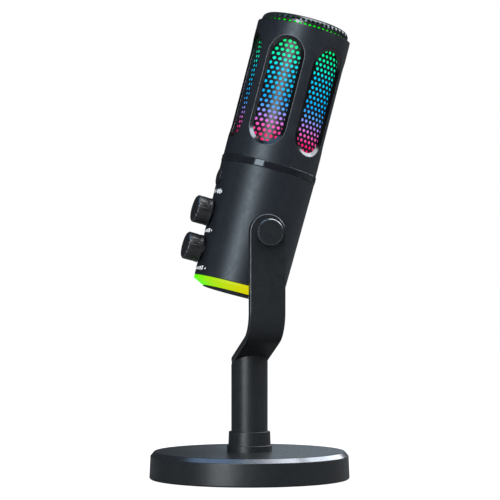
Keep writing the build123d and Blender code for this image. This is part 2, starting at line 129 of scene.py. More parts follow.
# Controls
KNOB_RADIUS = 6.87
KNOB_FACE = 31.8
KNOB_BACK = 23.9
KNOB_GROOVES = 18
KNOB_GROOVE_DEPTH = 0.2
KNOB_CHAMFER = 0.6
UPPER_KNOB_Z = 4.0
LOWER_KNOB_Z = -14.7
BUTTON_Z = 22.5
BUTTON_RADIUS = 3.6
BUTTON_FACE = 24.4
BUTTON_FLANGE_RADIUS = 4.2
BEZEL_RADIUS = 4.4
BEZEL_BORE = 3.8
BEZEL_FACE = 24.1
PIVOT_CAP_RADIUS = 6.55
PIVOT_CAP_FACE = 34.4
SHAFT_HOLE = 3.9             # for each knob's shaft
BUTTON_HOLE = 4.45
PIVOT_HOLE = 2.7

# Printed marks: heights on the body, and how far ink reaches into and out of the shell
LAMP_MARK_Z = 15.0
LEVEL_MARK_Z = -4.9
GAIN_MARK_Z = -23.9
INK_IN = 0.04
INK_OUT = 0.03

# Camera
CAMERA_AZIMUTH = 75.0
CAMERA_DISTANCE = 1227.0
CAMERA_HEIGHT = 114.5
CAMERA_VIEW_WIDTH = 250.0    # seen across the picture at the stem
CAMERA_SENSOR = 36.0

# ---- frames, from the joints
JOINTS = {joint["name"]: joint for joint in frame["joints"]}
PIVOT = Vector(JOINTS["mic_tilt"]["pos_m"])
FRONT = Vector(JOINTS["upper_knob_turn"]["axis"]).normalized()
LEAN = asin(FRONT.z)
UP_THE_BODY = Vector((0, sin(LEAN), cos(LEAN)))
STAND = Matrix.Scale(MM, 4)
MICROPHONE = Matrix.Translation(PIVOT) @ Matrix.Rotation(-LEAN, 4, "X") @ Matrix.Scale(MM, 4)
PIVOT_Z = PIVOT.z / MM
MIC_X = PIVOT.x / MM


# ---- mesh helpers
def loose_piece(name, verts, faces, place):
    """A mesh object from points in millimetres: points merged, faces turned outwards, not declared yet."""
    mesh = bpy.data.meshes.new(name)
    mesh.from_pydata([place @ Vector(v) for v in verts], [], faces)
    work = bmesh.new()
    work.from_mesh(mesh)
    bmesh.ops.remove_doubles(work, verts=work.verts, dist=1e-7)
    bmesh.ops.recalc_face_normals(work, faces=work.faces)
    work.to_mesh(mesh)
    work.free()
    piece = bpy.data.objects.new(name, mesh)
    bpy.context.scene.collection.objects.link(piece)
    return piece


def make_piece(name, verts, faces, body, *declared, **shading):
    """A piece put in place for its body, shaded, and parented to its body."""
    place = STAND if body == "stand" else MICROPHONE
    return declare(loose_piece(name, verts, faces, place), body, *declared, **shading)


def turned_piece(name, outline, segments, *declared, **shading):
    """A piece made from a closed (radius, height) outline turned about z."""
    return make_piece(name, *lathe(outline, segments), *declared, **shading)


def declare(piece, body, slot, material, replaced=(), sharp=35, even=True):
    """Material, smooth shading with true edges, the body it rides on and the nodes it stands for."""
    piece.data.materials.clear()
    piece.data.materials.append(material)
    piece.data.shade_smooth()
    piece.data.set_sharp_from_angle(angle=radians(sharp))
    if even:
        shading = piece.modifiers.new("even_shading", "WEIGHTED_NORMAL")
        shading.keep_sharp = True
    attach(piece, body)
    if replaced:
        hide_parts(*replaced)
    return piece


CORNER_STEPS = 5
CORNER_SHARE = 0.45          # a rounded corner takes no more than this of an edge


def soften(outline):
    """A closed outline of (radius, height) corners, each rounded by its third number if it has one."""
    points = []
    count = len(outline)
    for i, (r, z, *rounding) in enumerate(outline):
        here = Vector((r, z))
        if not rounding:
            points.append(here)
            continue
        before = Vector(outline[i - 1][:2]) - here
        after = Vector(outline[(i + 1) % count][:2]) - here
        half = before.angle(after) / 2
        reach = min(rounding[0] / tan(half), before.length * CORNER_SHARE, after.length * CORNER_SHARE)
        true_rounding = reach * tan(half)
        inwards = (before.normalized() + after.normalized()).normalized()
        middle = here + inwards * (true_rounding / sin(half))
        start = here + before.normalized() * reach - middle
        end = here + after.normalized() * reach - middle
        sweep = start.angle_signed(end)
        for k in range(CORNER_STEPS + 1):
            turn = Matrix.Rotation(-sweep * k / CORNER_STEPS, 2)
            points.append(middle + turn @ start)
    return [(p.x, p.y) for p in points]


def lathe(outline, segments):
    """Points and faces of a closed (radius, height) outline turned about z."""
    verts = []
    faces = []
    rings = []
    for r, z in outline:
        if abs(r) < 1e-6:
            rings.append([len(verts)] * segments)
            verts.append((0, 0, z))
            continue
        rings.append(list(range(len(verts), len(verts) + segments)))
        verts += [(x, y, z) for x, y in circle_outline(0, 0, r, segments)]
    for i in range(len(rings)):
        low, high = rings[i - 1], rings[i]
        for k in range(segments):
            following = (k + 1) % segments
            corners = [low[k], low[following], high[following], high[k]]
            face = [c for j, c in enumerate(corners) if c != corners[j - 1]]
            if len(face) > 2:
                faces.append(face)
    return verts, faces


def along_x(verts):
    """Turns a piece made about z so that its z runs along +x."""
    return [(z, y, -x) for x, y, z in verts]


def to_front(verts, height):
    """Turns a piece made about z so that its z runs to the front, at a height on the body."""
    return [(x, -z, y + height) for x, y, z in verts]


def moved(verts, x=0, y=0, z=0):
    return [(vx + x, vy + y, vz + z) for vx, vy, vz in verts]


def lower_shell_radius(z):
    share = (z - LOWER_BOTTOM) / (BAND_BOTTOM - LOWER_BOTTOM)
    return LOWER_BOTTOM_RADIUS + share * (LOWER_TOP_RADIUS - LOWER_BOTTOM_RADIUS)


def carve(piece, cutters):
    """Cuts closed solids, given as (verts, faces, place), out of a piece."""
    tools = []
    for verts, faces, place in cutters:
        tool = loose_piece("cutter", verts, faces, place)
        cut = piece.modifiers.new("cut", "BOOLEAN")
        cut.operation = "DIFFERENCE"
        cut.solver = "EXACT"
        cut.object = tool
        tools.append(tool)
    bpy.context.view_layer.update()
    result = bpy.data.meshes.new_from_object(piece.evaluated_get(bpy.context.evaluated_depsgraph_get()))
    result.name = piece.name
    piece.modifiers.clear()
    piece.data = result
    for tool in tools:
        bpy.data.objects.remove(tool)


def another_material(piece, place, material, chosen):
    """Another material for the faces chosen by (middle, normal), in the piece's own millimetres."""
    piece.data.materials.append(material)
    last = len(piece.data.materials) - 1
    back = place.inverted()
    for face in piece.data.polygons:
        if chosen(back @ face.center, (back.to_3x3() @ face.normal).normalized()):
            face.material_index = last


def rod(radius, low, high, segments=64):
    return lathe([(0, low), (radius, low), (radius, high), (0, high)], segments)


def prism(count):
    """Faces of a solid between two loops of corners, where the second loop follows the first."""
    sides = [[(k - 1) % count, k, k + count, (k - 1) % count + count] for k in range(count)]
    return [list(range(count)), list(range(count, 2 * count)), *sides]


def circle_outline(x, y, radius, count):
    turns = [2 * pi * k / count for k in range(count)]
    return [(x + radius * cos(turn), y + radius * sin(turn)) for turn in turns]


# ---- material helpers
class Nodes:
    """Short names for building a node tree."""

    def __init__(self, name):
        self.material = bpy.data.materials.new(name)
        self.material.use_nodes = True
        self.tree = self.material.node_tree
        self.shader = self.tree.nodes["Principled BSDF"]

    def fill(self, node, inputs):
        """Sets or links a node's inputs; an underscore stands for a space in an input's name."""
        for key, value in inputs.items():
            socket = node.inputs[key.replace("_", " ")]
            if isinstance(value, bpy.types.NodeSocket):
                self.tree.links.new(value, socket)
            else:
                socket.default_value = value

    def add(self, kind, **inputs):
        node = self.tree.nodes.new(kind)
        self.fill(node, inputs)
        return node

    def surface(self, **inputs):
        """Sets or links inputs of the shader itself."""
        self.fill(self.shader, inputs)

    def position(self):
        return self.add("ShaderNodeTexCoord").outputs["Object"]

    def noise(self, scale, detail=3.0):
        node = self.add("ShaderNodeTexNoise", Vector=self.position(), Scale=scale, Detail=detail)
        return node.outputs["Fac"]

    def spread(self, value, low, high, from_low=0.0, from_high=1.0):
        node = self.add("ShaderNodeMapRange", Value=value, From_Min=from_low, From_Max=from_high,
                        To_Min=low, To_Max=high)
        return node.outputs["Result"]

    def vector_math(self, operation, first, second):
        """A vector operation on a socket and a fixed vector."""
        node = self.add("ShaderNodeVectorMath")
        node.operation = operation
        self.tree.links.new(first, node.inputs[0])
        node.inputs[1].default_value = second
        return node.outputs

    def ramp(self, value, stops):
        node = self.add("ShaderNodeValToRGB", Fac=value)
        elements = node.color_ramp.elements
        while len(elements) < len(stops):
            elements.new(0.5)
        for element, (place, colour) in zip(elements, stops):
            element.position = place
            element.color = (*colour, 1)
        return node.outputs["Color"]

    def bump(self, height, distance):
        node = self.add("ShaderNodeBump", Height=height, Distance=distance)
        self.surface(Normal=node.outputs["Normal"])


def from_screen(red, green, blue):
    """A colour picked as 0 to 255 on screen, as linear light."""
    def linear(value):
        share = value / 255
        return share / 12.92 if share <= 0.04045 else ((share + 0.055) / 1.055) ** 2.4
    return linear(red), linear(green), linear(blue)


CLOUD_SCALE = 140.0          # of the faint patches in a surface's colour
UNLIT_SHARE = 0.06           # how bright a lit plastic's own colour is, of the light it gives off


def solid(name, colour, roughness, metallic=0.0, grain=9000.0, depth=2e-6,
          variation=0.12, roughness_spread=0.06, specular=0.5, tint=(1, 1, 1)):
    """Moulded, painted or plated surface: fine grain in the bump, clouded colour and roughness."""
    n = Nodes(name)
    dull = tuple(c * (1 - variation) for c in colour)
    bright = tuple(min(1, c * (1 + variation)) for c in colour)
    n.surface(Base_Color=n.ramp(n.noise(CLOUD_SCALE), [(0.3, dull), (0.7, bright)]))
    uneven = n.noise(CLOUD_SCALE * 4, detail=5.0)
    smoothest, roughest = roughness - roughness_spread, roughness + roughness_spread
    n.surface(Roughness=n.spread(uneven, smoothest, roughest, 0.3, 0.7))
    n.bump(n.noise(grain, detail=2.0), depth)
    n.surface(Metallic=metallic, Specular_IOR_Level=specular, Specular_Tint=(*tint, 1))
    return n.material


def height_on_body(n):
    """Millimetres along the microphone's axis from the tilt pivot."""
    from_pivot = n.vector_math("SUBTRACT", n.position(), PIVOT)["Vector"]
    return n.vector_math("DOT_PRODUCT", from_pivot, UP_THE_BODY / MM)["Value"]


def angle_on_body(n):
    """Turns about the microphone's axis: 0 and 1 at the back, 0.5 at the front, 0.75 at the arm side."""
    from_pivot = n.vector_math("SUBTRACT", n.position(), PIVOT)["Vector"]
    turn = n.add("ShaderNodeMath")
    turn.operation = "ARCTAN2"
    for socket, direction in zip(turn.inputs, (Vector((1, 0, 0)), FRONT)):
        n.tree.links.new(n.vector_math("DOT_PRODUCT", from_pivot, direction)["Value"], socket)
    return n.spread(turn.outputs["Value"], 0.0, 1.0, -pi, pi)


def glowing(n, share, stops):
    """Lit milky plastic: the colour is given off, and the unlit plastic under it is a dark shade of it."""
    unlit = [(place, tuple(UNLIT_SHARE * c for c in colour)) for place, colour in stops]
    n.surface(Emission_Color=n.ramp(share, stops), Base_Color=n.ramp(share, unlit))
    n.surface(Emission_Strength=1.0, Roughness=0.5, Specular_IOR_Level=0.2)


# ---- materials
def diffuser_material():
    """Milky tube lit in bands: green at the top, through blue and violet, to red-pink."""
    n = Nodes("diffuser_glow")
    low, high = 40.0, 106.0      # on the body, beyond the lit stretch at both ends
    colours = [
        (46.8, (254, 24, 116)), (51.5, (251, 92, 190)), (56.3, (180, 138, 244)), (61.0, (84, 168, 252)),
        (66.0, (4, 172, 254)), (75.5, (0, 205, 254)), (80.5, (0, 208, 252)), (85.1, (0, 250, 214)),
        (89.9, (0, 252, 174)), (94.7, (0, 250, 138)), (101.0, (0, 245, 60)), (104.0, (3, 245, 8)),
        (105.2, (3, 245, 8)), (105.5, (0, 30, 2)),
    ]
    stops = [((z - low) / (high - low), from_screen(*c)) for z, c in colours]
    glowing(n, n.spread(height_on_body(n), 0.0, 1.0, low, high), stops)
    return n.material


def light_ring_material():
    """Milky ring lit lime at the front and yellow at the arm side."""
    n = Nodes("light_ring_glow")
    stops = [
        (0.0, from_screen(255, 150, 0)), (0.3, from_screen(70, 250, 10)), (0.46, from_screen(76, 250, 8)),
        (0.53, from_screen(110, 242, 8)), (0.59, from_screen(156, 230, 6)), (0.65, from_screen(186, 221, 4)),
        (0.71, from_screen(206, 212, 2)), (1.0, from_screen(255, 150, 0)),
    ]
    glowing(n, angle_on_body(n), stops)
    n.bump(n.noise(2500.0), 1e-6)
    return n.material


def foam_material():
    n = Nodes("open_cell_foam")
    cells = n.add("ShaderNodeTexVoronoi", Vector=n.position(), Scale=1400.0).outputs["Distance"]
    # Darker in the middle of each cell than at its walls: painted shade in the foam's pores.
    cell, wall = (0.004, 0.004, 0.004), (0.02, 0.02, 0.021)
    n.surface(Base_Color=n.ramp(cells, [(0.2, cell), (0.8, wall)]), Roughness=0.95)
    n.bump(cells, 3e-4)
    return n.material


def board_material():
    """Solder mask with copper tracks showing through as lighter lines."""
    n = Nodes("solder_mask")
    mask, other_mask, track = (0.004, 0.06, 0.02, 1), (0.006, 0.075, 0.025, 1), (0.02, 0.16, 0.05, 1)
    tracks = n.add("ShaderNodeTexBrick", Vector=n.position(), Scale=220.0, Mortar_Size=0.03,
                   Color1=mask, Color2=other_mask, Mortar=track)
    n.surface(Base_Color=tracks.outputs["Color"], Roughness=n.spread(n.noise(900.0), 0.25, 0.4))
    n.bump(tracks.outputs["Fac"], 3e-5)
    return n.material


POLISH = {"roughness_spread": 0.01, "depth": 2e-7}
SHELL = solid("satin_black_shell", (0.0115, 0.0135, 0.018), 0.42, grain=11000.0, depth=1.2e-6,
              variation=0.1, tint=(0.80, 0.92, 1.0))
PAINT = solid("satin_black_paint", (0.0115, 0.0132, 0.0155), 0.38, grain=7000.0, depth=1.5e-6,
              variation=0.1, tint=(0.94, 0.98, 1.0))
MESH_PAINT = solid("semi_gloss_mesh", (0.012, 0.012, 0.014), 0.27, metallic=0.2, grain=8000.0,
                   depth=1.0e-6, specular=0.36, tint=(0.88, 0.95, 1.0))
GRILLE_METAL = solid("dark_nickel_grille", (0.075, 0.08, 0.092), 0.2, metallic=0.8, depth=4e-7)
BAND = solid("polished_black", (0.012, 0.013, 0.016), 0.09, roughness_spread=0.02, depth=2e-7,
             specular=0.45, tint=(0.75, 0.88, 1.0))
# The window slopes: glossy like a polished bevel, and lighter and metallic against the shell's black as a
# painted highlight.
SLOPE_GLOSS_HIGHLIGHT = solid("polished_slope_painted_highlight", (0.085, 0.09, 0.097), 0.18, metallic=1.0, **POLISH)
# A lighter, metallic copy of the black for bevels and chamfers: glossy, and lightened as a painted
# highlight.
EDGE = solid("polished_edge_painted_highlight", (0.15, 0.16, 0.18), 0.24, metallic=0.9, **POLISH)
# A lighter, metallic copy of the shell's black for the windows' outer edges: a satin edge with a painted
# highlight.
SOFT_EDGE_HIGHLIGHT = solid("satin_edge_painted_highlight", (0.05, 0.055, 0.062), 0.26, metallic=0.9, **POLISH)
# A lighter, metallic copy of the arm's black paint for its bevels: a painted highlight along its edges.
ARM_EDGE_HIGHLIGHT = solid("arm_edge_painted_highlight", (0.09, 0.095, 0.105), 0.30, metallic=0.9, **POLISH)
# Matt, and darker than the shell's black: painted shade for the cap underneath the body.
CAP = solid("matt_black_cap_painted_shade", (0.004, 0.005, 0.009), 0.6, depth=8e-7, specular=0.2)
KNOB = solid("satin_black_knob", (0.010, 0.0105, 0.012), 0.3, roughness_spread=0.005, depth=5e-8,
             variation=0.06, specular=0.8)
BUTTON = solid("button_black", (0.01, 0.011, 0.014), 0.3, depth=6e-7)
RUBBER = solid("foot_rubber", (0.012, 0.012, 0.012), 0.75, grain=3500.0, depth=1.2e-5, specular=0.3)
MARK = solid("white_print", (0.92, 0.94, 0.95), 0.5, variation=0.05, depth=5e-7)
STEEL = solid("plated_steel", (0.5, 0.5, 0.51), 0.3, metallic=1.0, depth=8e-7)
BLACK_STEEL = solid("black_oxide_steel", (0.03, 0.03, 0.032), 0.4, metallic=0.8, depth=1e-6)
BRASS = solid("machined_brass", (0.62, 0.42, 0.14), 0.28, metallic=1.0, depth=8e-7)
GOLD = solid("plated_capsule", (0.75, 0.6, 0.3), 0.22, metallic=1.0, depth=4e-7)
NYLON = solid("white_nylon", (0.7, 0.69, 0.65), 0.45, depth=2e-6, variation=0.04)
FRAME_PLASTIC = solid("frame_plastic", (0.02, 0.02, 0.022), 0.5, depth=4e-6)
CHIP = solid("chip_black", (0.012, 0.012, 0.012), 0.55, depth=2e-6)
CHIP_LIGHT = solid("light_chip_white", (0.8, 0.8, 0.72), 0.3, depth=5e-7, variation=0.04)
RIBBON = solid("ribbon_grey", (0.45, 0.45, 0.44), 0.5, depth=2e-6)
DIFFUSER = diffuser_material()
LIGHT_RING = light_ring_material()
FOAM = foam_material()
BOARD = board_material()


# ---- base and stem
def build_base():
    foot_outside, foot_inside = BASE_RADIUS - 0.55, 47.0
    shell = soften([
        (BASE_BORE, BASE_HEIGHT), (BASE_TOP_RADIUS, BASE_HEIGHT, 0.35),
        (BASE_RADIUS - 0.5, BASE_SHOULDER, 0.5), (BASE_RADIUS, 1.0, 0.3),
        (foot_outside, SHELL_FOOT, 0.2), (foot_inside, SHELL_FOOT, 0.2),
        (foot_inside - 0.6, SHELL_INSIDE_TOP, 0.8), (BASE_BORE, SHELL_INSIDE_TOP),
    ])
    base = turned_piece("base_shell_body", shell, 256, "stand", "stand_paint", PAINT, ["base_shell"])

    def on_bevel(middle, normal):
        return BASE_SHOULDER + 0.25 < middle.z < BASE_HEIGHT - 0.15 and middle.xy.length > BASE_TOP_RADIUS

    # The bevel round the base's top gets the lighter edge material: a painted highlight.
    another_material(base, STAND, EDGE, on_bevel)


def build_foot_pad():
    """A rubber pad with rings of grooves under it."""
    groove_half, slope, depth = 0.4, 0.2, 0.35
    under = [(FOOT_PAD_RADIUS, 0.3), (FOOT_PAD_RADIUS - 0.3, 0)]
    for radius in FOOT_GROOVES:
        under += [(radius + groove_half + slope, 0), (radius + groove_half, depth)]
        under += [(radius - groove_half, depth), (radius - groove_half - slope, 0)]
    pad = soften([(0, FOOT_PAD_THICKNESS), (FOOT_PAD_RADIUS, FOOT_PAD_THICKNESS), *under, (0, 0)])
    turned_piece("foot_pad_body", pad, 160, "stand", "rubber", RUBBER, ["foot_pad"])


def build_collar():
    collar = soften([
        (STEM_RADIUS, BASE_HEIGHT), (COLLAR_RADIUS, BASE_HEIGHT), (COLLAR_RADIUS, COLLAR_STEP_Z, 0.35),
        (10.62, COLLAR_STEP_Z, 0.12), (10.4, COLLAR_TOP, 0.3), (STEM_RADIUS, COLLAR_TOP),
    ])
    turned_piece("base_collar_body", collar, 128, "stand", "stand_paint", PAINT, ["base_collar"])


SLOPE = pi / 2 - ARM_TURN
BEND_CENTRE_X = ARM_OUTER_X - ARM_BEND_RADIUS
BEND_END_X = BEND_CENTRE_X + ARM_BEND_RADIUS * cos(ARM_TURN)
BEND_END_Z = ARM_BEND_Z - ARM_BEND_RADIUS * sin(ARM_TURN)
SEAT_Z = BEND_END_Z - BEND_END_X * tan(SLOPE)
SEAT = STAND @ (Matrix.Translation((0, 0, SEAT_Z)) @ Matrix.Rotation(-SLOPE, 4, "Y"))


def build_stem():
    """A tube whose top is cut to the slope of the arm's plate."""
    levels = 12
    outline = [(STEM_RADIUS, k / levels) for k in range(levels + 1)]
    outline += [(STEM_BORE, k / levels) for k in range(levels, -1, -1)]
    verts, faces = lathe(outline, 160)
    cut = []
    for x, y, share in verts:
        top = SEAT_Z + x * tan(SLOPE)
        cut.append((x, y, BASE_HEIGHT + share * (top - BASE_HEIGHT)))
    make_piece("stem_tube", cut, faces, "stand", "stand_paint", PAINT, ["stem"])


# ---- side arm and pivot
ARM_UPRIGHT = PIVOT_Z + ARM_WIDTH / 2 - ARM_BEND_Z
ARM_MIDDLE_RADIUS = ARM_BEND_RADIUS - ARM_THICKNESS / 2
ARM_BEND_LENGTH = ARM_MIDDLE_RADIUS * ARM_TURN
ARM_MIDDLE_END_X = BEND_CENTRE_X + ARM_MIDDLE_RADIUS * cos(ARM_TURN)
ARM_MIDDLE_END_Z = ARM_BEND_Z - ARM_MIDDLE_RADIUS * sin(ARM_TURN)
ARM_END_REACH = STEM_RADIUS / cos(SLOPE)
ARM_LENGTH = ARM_UPRIGHT + ARM_BEND_LENGTH + ARM_MIDDLE_END_X / cos(SLOPE) + ARM_END_REACH


def arm_point(along, across, out):
    """A point of the bent bar: along it from the top, across its width, and out from its middle."""
    if along <= ARM_UPRIGHT:
        return ARM_OUTER_X - ARM_THICKNESS / 2 + out, across, PIVOT_Z + ARM_WIDTH / 2 - along
    if along <= ARM_UPRIGHT + ARM_BEND_LENGTH:
        turn = (along - ARM_UPRIGHT) / ARM_MIDDLE_RADIUS
        radius = ARM_MIDDLE_RADIUS + out
        return BEND_CENTRE_X + radius * cos(turn), across, ARM_BEND_Z - radius * sin(turn)
    rest = along - ARM_UPRIGHT - ARM_BEND_LENGTH
    x = ARM_MIDDLE_END_X - rest * cos(SLOPE) + out * sin(SLOPE)
    z = ARM_MIDDLE_END_Z - rest * sin(SLOPE) - out * cos(SLOPE)
    return x, across, z


def arm_out(point):
    """The direction square to the bar's flat faces, at a point on it."""
    radial = Vector((point.x - BEND_CENTRE_X, 0, point.z - ARM_BEND_Z)).normalized()
    if radial.z > 0:
        return Vector((1, 0, 0))
    if atan2(-radial.z, radial.x) < ARM_TURN:
        return radial
    return Vector((sin(SLOPE), 0, -cos(SLOPE)))


def arm_half_outline(inset):
    """(along, half width) pairs from the round top to the round end, moved in by an inset."""
    half = ARM_WIDTH / 2
    end_centre = ARM_LENGTH - ARM_END_REACH
    steps = 20
    pairs = []
    for k in range(steps + 1):
        angle = pi / 2 * k / steps
        pairs.append((half - (half - inset) * cos(angle), (half - inset) * sin(angle)))
    start = pairs[-1][0]
    spans = 46
    for k in range(1, spans):
        pairs.append((start + (end_centre - start) * k / spans, half - inset))
    for k in range(steps + 1):
        angle = pi / 2 * (1 - k / steps)
        pairs.append((end_centre + (ARM_END_REACH - inset) * cos(angle), (half - inset) * sin(angle)))
    return pairs


def build_arm():
    """The bent bar with a fine bevel on every edge, its pivot hole and the countersink over the stem."""
    rings = []
    verts = []
    faces = []
    for side in (1, -1):
        levels = [(1.0, 1.0), (0.62, 0.955), (0.3, 0.87), (0.08, 0.76), (0, 0.66)]
        for inset, share in (levels if side > 0 else reversed(levels)):
            pairs = arm_half_outline(ARM_BEVEL * inset)
            loop = [(a, w) for a, w in pairs] + [(a, -w) for a, w in reversed(pairs[1:-1])]
            rings.append(list(range(len(verts), len(verts) + len(loop))))
            verts += [arm_point(a, w, side * share * ARM_THICKNESS / 2) for a, w in loop]
    count = len(rings[0])
    for low, high in zip(rings, rings[1:]):
        for k in range(count):
            faces.append([low[k - 1], low[k], high[k], high[k - 1]])
    for ring in (rings[0], rings[-1]):
        last = count // 2
        faces.append([ring[0], ring[1], ring[-1]])
        faces.append([ring[last], ring[last - 1], ring[last + 1]])
        for k in range(1, last - 1):
            faces.append([ring[k], ring[k + 1], ring[-k - 1], ring[-k]])
    arm = loose_piece("side_arm_bar", verts, faces, STAND)
    hole, hole_faces = rod(ARM_PIVOT_HOLE, low=25, high=40)
    shank, head, low, high = SCREW_RADIUS + 0.05, SCREW_HEAD_RADIUS + 0.1, -1, 6
    sink = [(0, low), (shank, low), (shank, SCREW_SINK), (head, SCREW_HEAD_Z), (head, high), (0, high)]
    carve(arm, [(moved(along_x(hole), z=PIVOT_Z), hole_faces, STAND), (*lathe(sink, 64), SEAT)])
    declare(arm, "stand", "stand_paint", PAINT, ["side_arm"], sharp=30)
    # The arm's bevels get a lighter, metallic copy of its black paint: a painted highlight along every edge.
    arm.data.materials.append(ARM_EDGE_HIGHLIGHT)
    for face in arm.data.polygons:          # the bevel's faces look neither straight out nor along
        if 0.15 < abs(face.normal @ arm_out(face.center / MM)) < 0.97:
            face.material_index = 1


def build_arm_screw():
    """Countersunk screw with a hexagon socket, flush with the arm's plate."""
    tip, top = -12, SCREW_HEAD_Z + 0.22
    body = soften([
        (0, tip), (SCREW_RADIUS - 0.1, tip, 0.4), (SCREW_RADIUS, SCREW_SINK, 0.1),
        (SCREW_HEAD_RADIUS, SCREW_HEAD_Z, 0.1), (SCREW_HEAD_RADIUS, top, 0.08), (0, top),
    ])
    screw = loose_piece("arm_screw_body", *lathe(body, 64), SEAT)
    carve(screw, [(*rod(radius=1.45, low=1.6, high=4.0, segments=6), SEAT)])
    declare(screw, "stand", "black_screw", BLACK_STEEL, ["arm_screw"])


def build_pivot_cap():
    """The cap outside the arm, hollow where the pivot's screw head is."""
    arm_side = ARM_OUTER_X - MIC_X + 0.15
    hollow_radius, hollow_end = 4.6, ARM_OUTER_X - MIC_X + 2.55
    face_radius = 6.0
    cap = soften([
        (0, PIVOT_CAP_FACE), (face_radius, PIVOT_CAP_FACE, 0.12),
        (PIVOT_CAP_RADIUS, PIVOT_CAP_FACE - 0.55, 0.12), (PIVOT_CAP_RADIUS, arm_side, 0.15),
        (hollow_radius, arm_side), (hollow_radius, hollow_end), (0, hollow_end),
    ])
    verts, faces = lathe(cap, 96)
    piece = make_piece("pivot_cap_body", along_x(verts), faces, "microphone", "stand_paint", PAINT,
                       ["pivot_cap"])

    def on_bevel(middle, normal):
        return PIVOT_CAP_FACE - 0.5 < middle.x < PIVOT_CAP_FACE - 0.05 and middle.yz.length > face_radius

    # The chamfer round the cap's face gets the lighter edge material: a painted highlight.
    another_material(piece, MICROPHONE, EDGE, on_bevel)


# ---- shells
def stadium_rays(half_straight, half_sector, up, down):
    """Rays from a window's spine to the sector's border: (spine height, direction, reach to the border)."""
    def arc(centre, limit, sign):
        corner = atan2(limit - centre * sign, half_sector)
        coarse, fine = 8, 20
        turns = [corner * k / coarse for k in range(coarse + 1)]
        turns += [corner + (pi / 2 - corner) * k / fine for k in range(1, fine + 1)]
        rays = []
        for turn in turns:
            reach = half_sector / cos(turn) if turn <= corner else (limit - centre * sign) / sin(turn)
            rays.append((turn, reach))
        return rays
    top = arc(half_straight, up, 1)
    bottom = arc(-half_straight, down, -1)
    rays = [(half_straight, (cos(t), sin(t)), d) for t, d in top]
    rays += [(half_straight, (-cos(t), sin(t)), d) for t, d in reversed(top[:-1])]
    sides = 14
    for k in range(1, sides):
        rays.append((half_straight * (1 - 2 * k / sides), (-1, 0), half_sector))
    rays += [(-half_straight, (-cos(t), -sin(t)), d) for t, d in bottom]
    rays += [(-half_straight, (cos(t), -sin(t)), d) for t, d in reversed(bottom[:-1])]
    for k in range(1, sides):
        rays.append((half_straight * (2 * k / sides - 1), (1, 0), half_sector))
    return rays


def build_upper_shell():
    """A tube with six long windows, each with a sloped and slightly rounded edge."""
    rim, foot_rim = 0.5, 0.15
    edge_radius = UPPER_RADIUS - 0.16
    half_sector = UPPER_RADIUS * pi / WINDOW_COUNT
    straight = WINDOW_HALF_HEIGHT - WINDOW_HALF_WIDTH
    up = SHELL_TOP - rim - WINDOW_CENTRE
    down = WINDOW_CENTRE - BAND_TOP - foot_rim
    rays = stadium_rays(straight, half_sector, up, down)
    edge = WINDOW_HALF_WIDTH
    slope = [
        (edge, UPPER_BORE), (edge, UPPER_BORE + 0.12), (edge + 0.1, UPPER_BORE + 0.2),
        (edge + WINDOW_BEVEL - 0.22, UPPER_RADIUS - 0.2), (edge + WINDOW_BEVEL - 0.1, UPPER_RADIUS - 0.1),
        (edge + WINDOW_BEVEL + 0.02, UPPER_RADIUS - 0.03), (edge + WINDOW_BEVEL + 0.18, UPPER_RADIUS),
    ]
    shares = [0.12, 0.3, 0.5, 0.75, 1.0]
    verts = []
    faces = []

    def corner(x, z, radius, window):
        angle = x / UPPER_RADIUS + 2 * pi * window / WINDOW_COUNT - pi / 2
        verts.append((radius * cos(angle), radius * sin(angle), z + WINDOW_CENTRE))
        return len(verts) - 1

    for window in range(WINDOW_COUNT):
        columns = []
        for spine, (dx, dz), reach in rays:
            column = []
            for share in reversed(shares):
                d = slope[0][0] + share * (reach - slope[0][0])
                column.append(corner(dx * d, spine + dz * d, UPPER_BORE, window))
            for d, radius in slope:
                column.append(corner(dx * d, spine + dz * d, radius, window))
            for share in shares:
                d = slope[-1][0] + share * (reach - slope[-1][0])
                column.append(corner(dx * d, spine + dz * d, UPPER_RADIUS, window))
            columns.append(column)
        for i in range(len(columns)):
            for low, high in zip(range(len(columns[0]) - 1), range(1, len(columns[0]))):
                faces.append([columns[i - 1][low], columns[i][low], columns[i][high], columns[i - 1][high]])
    rims = [
        (up, [(UPPER_RADIUS, up), (UPPER_RADIUS - 0.08, up + 0.3), (UPPER_RADIUS - 0.35, up + rim),
              (UPPER_BORE, up + rim), (UPPER_BORE, up)]),
        (-down, [(UPPER_RADIUS, -down), (UPPER_RADIUS - 0.1, -down - foot_rim),
                 (UPPER_BORE, -down - foot_rim), (UPPER_BORE, -down)]),
    ]
    for height, profile in rims:
        places = sorted({
            round(dx * reach / UPPER_RADIUS + 2 * pi * window / WINDOW_COUNT, 6)
            for window in range(WINDOW_COUNT) for spine, (dx, dz), reach in rays
            if abs(spine + dz * reach - height) < 1e-6
        })
        loops = [[corner(turn * UPPER_RADIUS, z, radius, 0) for radius, z in profile] for turn in places]
        for i in range(len(loops)):
            for k in range(len(profile) - 1):
                faces.append([loops[i - 1][k], loops[i][k], loops[i][k + 1], loops[i - 1][k + 1]])
    shell = make_piece("upper_shell_body", verts, faces, "microphone", "shell_black", SHELL,
                       ["upper_shell"], sharp=32)

    def off_radial(middle, normal):
        """True on the slopes and edges, and not on the round outside or inside."""
        return abs(normal.xy @ middle.xy) < 0.985 * middle.xy.length

    def on_slope(middle, normal):
        return UPPER_BORE + 0.05 < middle.xy.length < edge_radius and off_radial(middle, normal)

    def on_edge(middle, normal):
        return middle.xy.length >= edge_radius and off_radial(middle, normal)

    # The slopes and outer edges of the windows get lighter, metallic copies of the shell's black: painted
    # highlights on glossy bevels.
    another_material(shell, MICROPHONE, SLOPE_GLOSS_HIGHLIGHT, on_slope)
    another_material(shell, MICROPHONE, SOFT_EDGE_HIGHLIGHT, on_edge)


